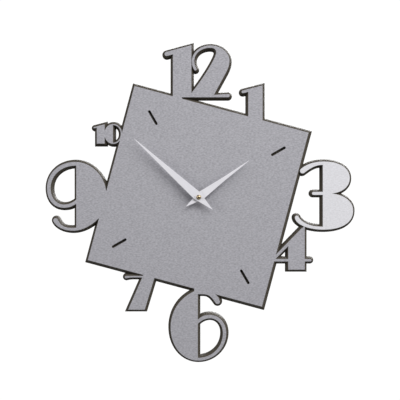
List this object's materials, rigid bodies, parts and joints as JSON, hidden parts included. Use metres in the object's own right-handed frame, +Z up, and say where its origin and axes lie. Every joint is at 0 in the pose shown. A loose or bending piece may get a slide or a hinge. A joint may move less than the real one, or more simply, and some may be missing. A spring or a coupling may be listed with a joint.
{
  "type": "wall clock",
  "caption": "Quartz wall clock: a tilted square dial with bevelled edges, large cut-out numerals round it, needle hands and a battery movement behind.",
  "frame": {"origin": "the axis of the hands, in the plane of the wall behind the movement", "axes": "+Z up towards the twelve, +Y into the wall, the dial facing -Y, +X to the viewer's right"},
  "size_m": [0.408, 0.0393, 0.4214],
  "materials": {
    "stained_fibreboard": "dark stained, satin lacquer",
    "grey_laminate": "fine woven texture, matt",
    "pale_laminate": "fine woven texture, matt",
    "silver_hands": "silver lacquer",
    "brass": "polished",
    "zinc_plated_steel": "zinc plated",
    "black_rubber": "matt",
    "black_abs": "spark-eroded texture",
    "white_acetal": "moulded",
    "dark_acetal": "moulded",
    "ferrite": "sintered",
    "amber_nylon": "moulded",
    "enamelled_copper": "enamelled wire",
    "green_board": "solder resist",
    "black_epoxy": "cast",
    "battery_sleeve": "printed sleeve, plain"
  },
  "bodies": {
    "clock": {"dial_board": "stained_fibreboard", "dial_facing": "grey_laminate", "numeral_three_facing": "pale_laminate", "threaded_bush": "brass", "rubber_washer": "black_rubber", "dial_washer": "brass", "fixing_nut": "brass", "hanger_plate": "zinc_plated_steel", "movement_case_front": "black_abs", "movement_case_back": "black_abs", "stator_plate": "zinc_plated_steel", "coil_core": "zinc_plated_steel", "coil_bobbin": "amber_nylon", "coil_winding": "enamelled_copper", "circuit_board": "green_board", "chip_cover": "black_epoxy", "quartz_crystal": "zinc_plated_steel", "contact_positive": "zinc_plated_steel", "contact_negative": "zinc_plated_steel"},
    "minute_train": {"minute_arbor": "zinc_plated_steel", "minute_hand": "silver_hands", "minute_hand_collar": "brass", "cap_nut": "brass", "clutch_spring": "zinc_plated_steel"},
    "hour_train": {"hour_wheel": "white_acetal", "hour_hand": "silver_hands", "hour_hand_collet": "brass"},
    "motion": {"motion_wheel": "white_acetal"},
    "setting": {"setting_pinion": "dark_acetal", "setting_knob": "dark_acetal"},
    "seconds": {"seconds_wheel": "white_acetal"},
    "fifth": {"fifth_wheel": "dark_acetal"},
    "rotor": {"rotor_pinion": "dark_acetal", "rotor_magnet": "ferrite"},
    "third": {"third_wheel": "white_acetal"},
    "centre": {"centre_wheel": "white_acetal"},
    "cell": {"battery": "battery_sleeve"}
  },
  "joints": [
    {"name": "minute_spin", "type": "hinge", "parent": "clock", "child": "minute_train", "pos_m": [0, 0, 0], "axis": [0, 1, 0], "continuous": true},
    {"name": "hour_spin", "type": "hinge", "parent": "clock", "child": "hour_train", "pos_m": [0, 0, 0], "axis": [0, 1, 0], "continuous": true},
    {"name": "motion_spin", "type": "hinge", "parent": "clock", "child": "motion", "pos_m": [0.0096, 0, 0], "axis": [0, 1, 0], "continuous": true},
    {"name": "setting_spin", "type": "hinge", "parent": "clock", "child": "setting", "pos_m": [0.0144, 0, 0.00831], "axis": [0, 1, 0], "continuous": true},
    {"name": "seconds_spin", "type": "hinge", "parent": "clock", "child": "seconds", "pos_m": [0, 0, 0], "axis": [0, 1, 0], "continuous": true},
    {"name": "fifth_spin", "type": "hinge", "parent": "clock", "child": "fifth", "pos_m": [-0.00359, 0, 0.00987], "axis": [0, 1, 0], "continuous": true},
    {"name": "rotor_spin", "type": "hinge", "parent": "clock", "child": "rotor", "pos_m": [-0.00983, 0, 0.01347], "axis": [0, 1, 0], "continuous": true},
    {"name": "third_spin", "type": "hinge", "parent": "clock", "child": "third", "pos_m": [-0.0102, 0, 0], "axis": [0, 1, 0], "continuous": true},
    {"name": "centre_spin", "type": "hinge", "parent": "clock", "child": "centre", "pos_m": [0, 0, 0], "axis": [0, 1, 0], "continuous": true},
    {"name": "battery_slide", "type": "slide", "parent": "clock", "child": "cell", "axis": [0, 1, 0], "range_m": [0, 0.03]}
  ],
  "couplings": [
    {"joint": "hour_spin", "follows": "minute_spin", "ratio": 0.083333},
    {"joint": "motion_spin", "follows": "minute_spin", "ratio": -0.33333},
    {"joint": "setting_spin", "follows": "minute_spin", "ratio": 1},
    {"joint": "fifth_spin", "follows": "seconds_spin", "ratio": -6},
    {"joint": "rotor_spin", "follows": "seconds_spin", "ratio": 30},
    {"joint": "third_spin", "follows": "seconds_spin", "ratio": -0.125},
    {"joint": "centre_spin", "follows": "seconds_spin", "ratio": 0.016667}
  ]
}
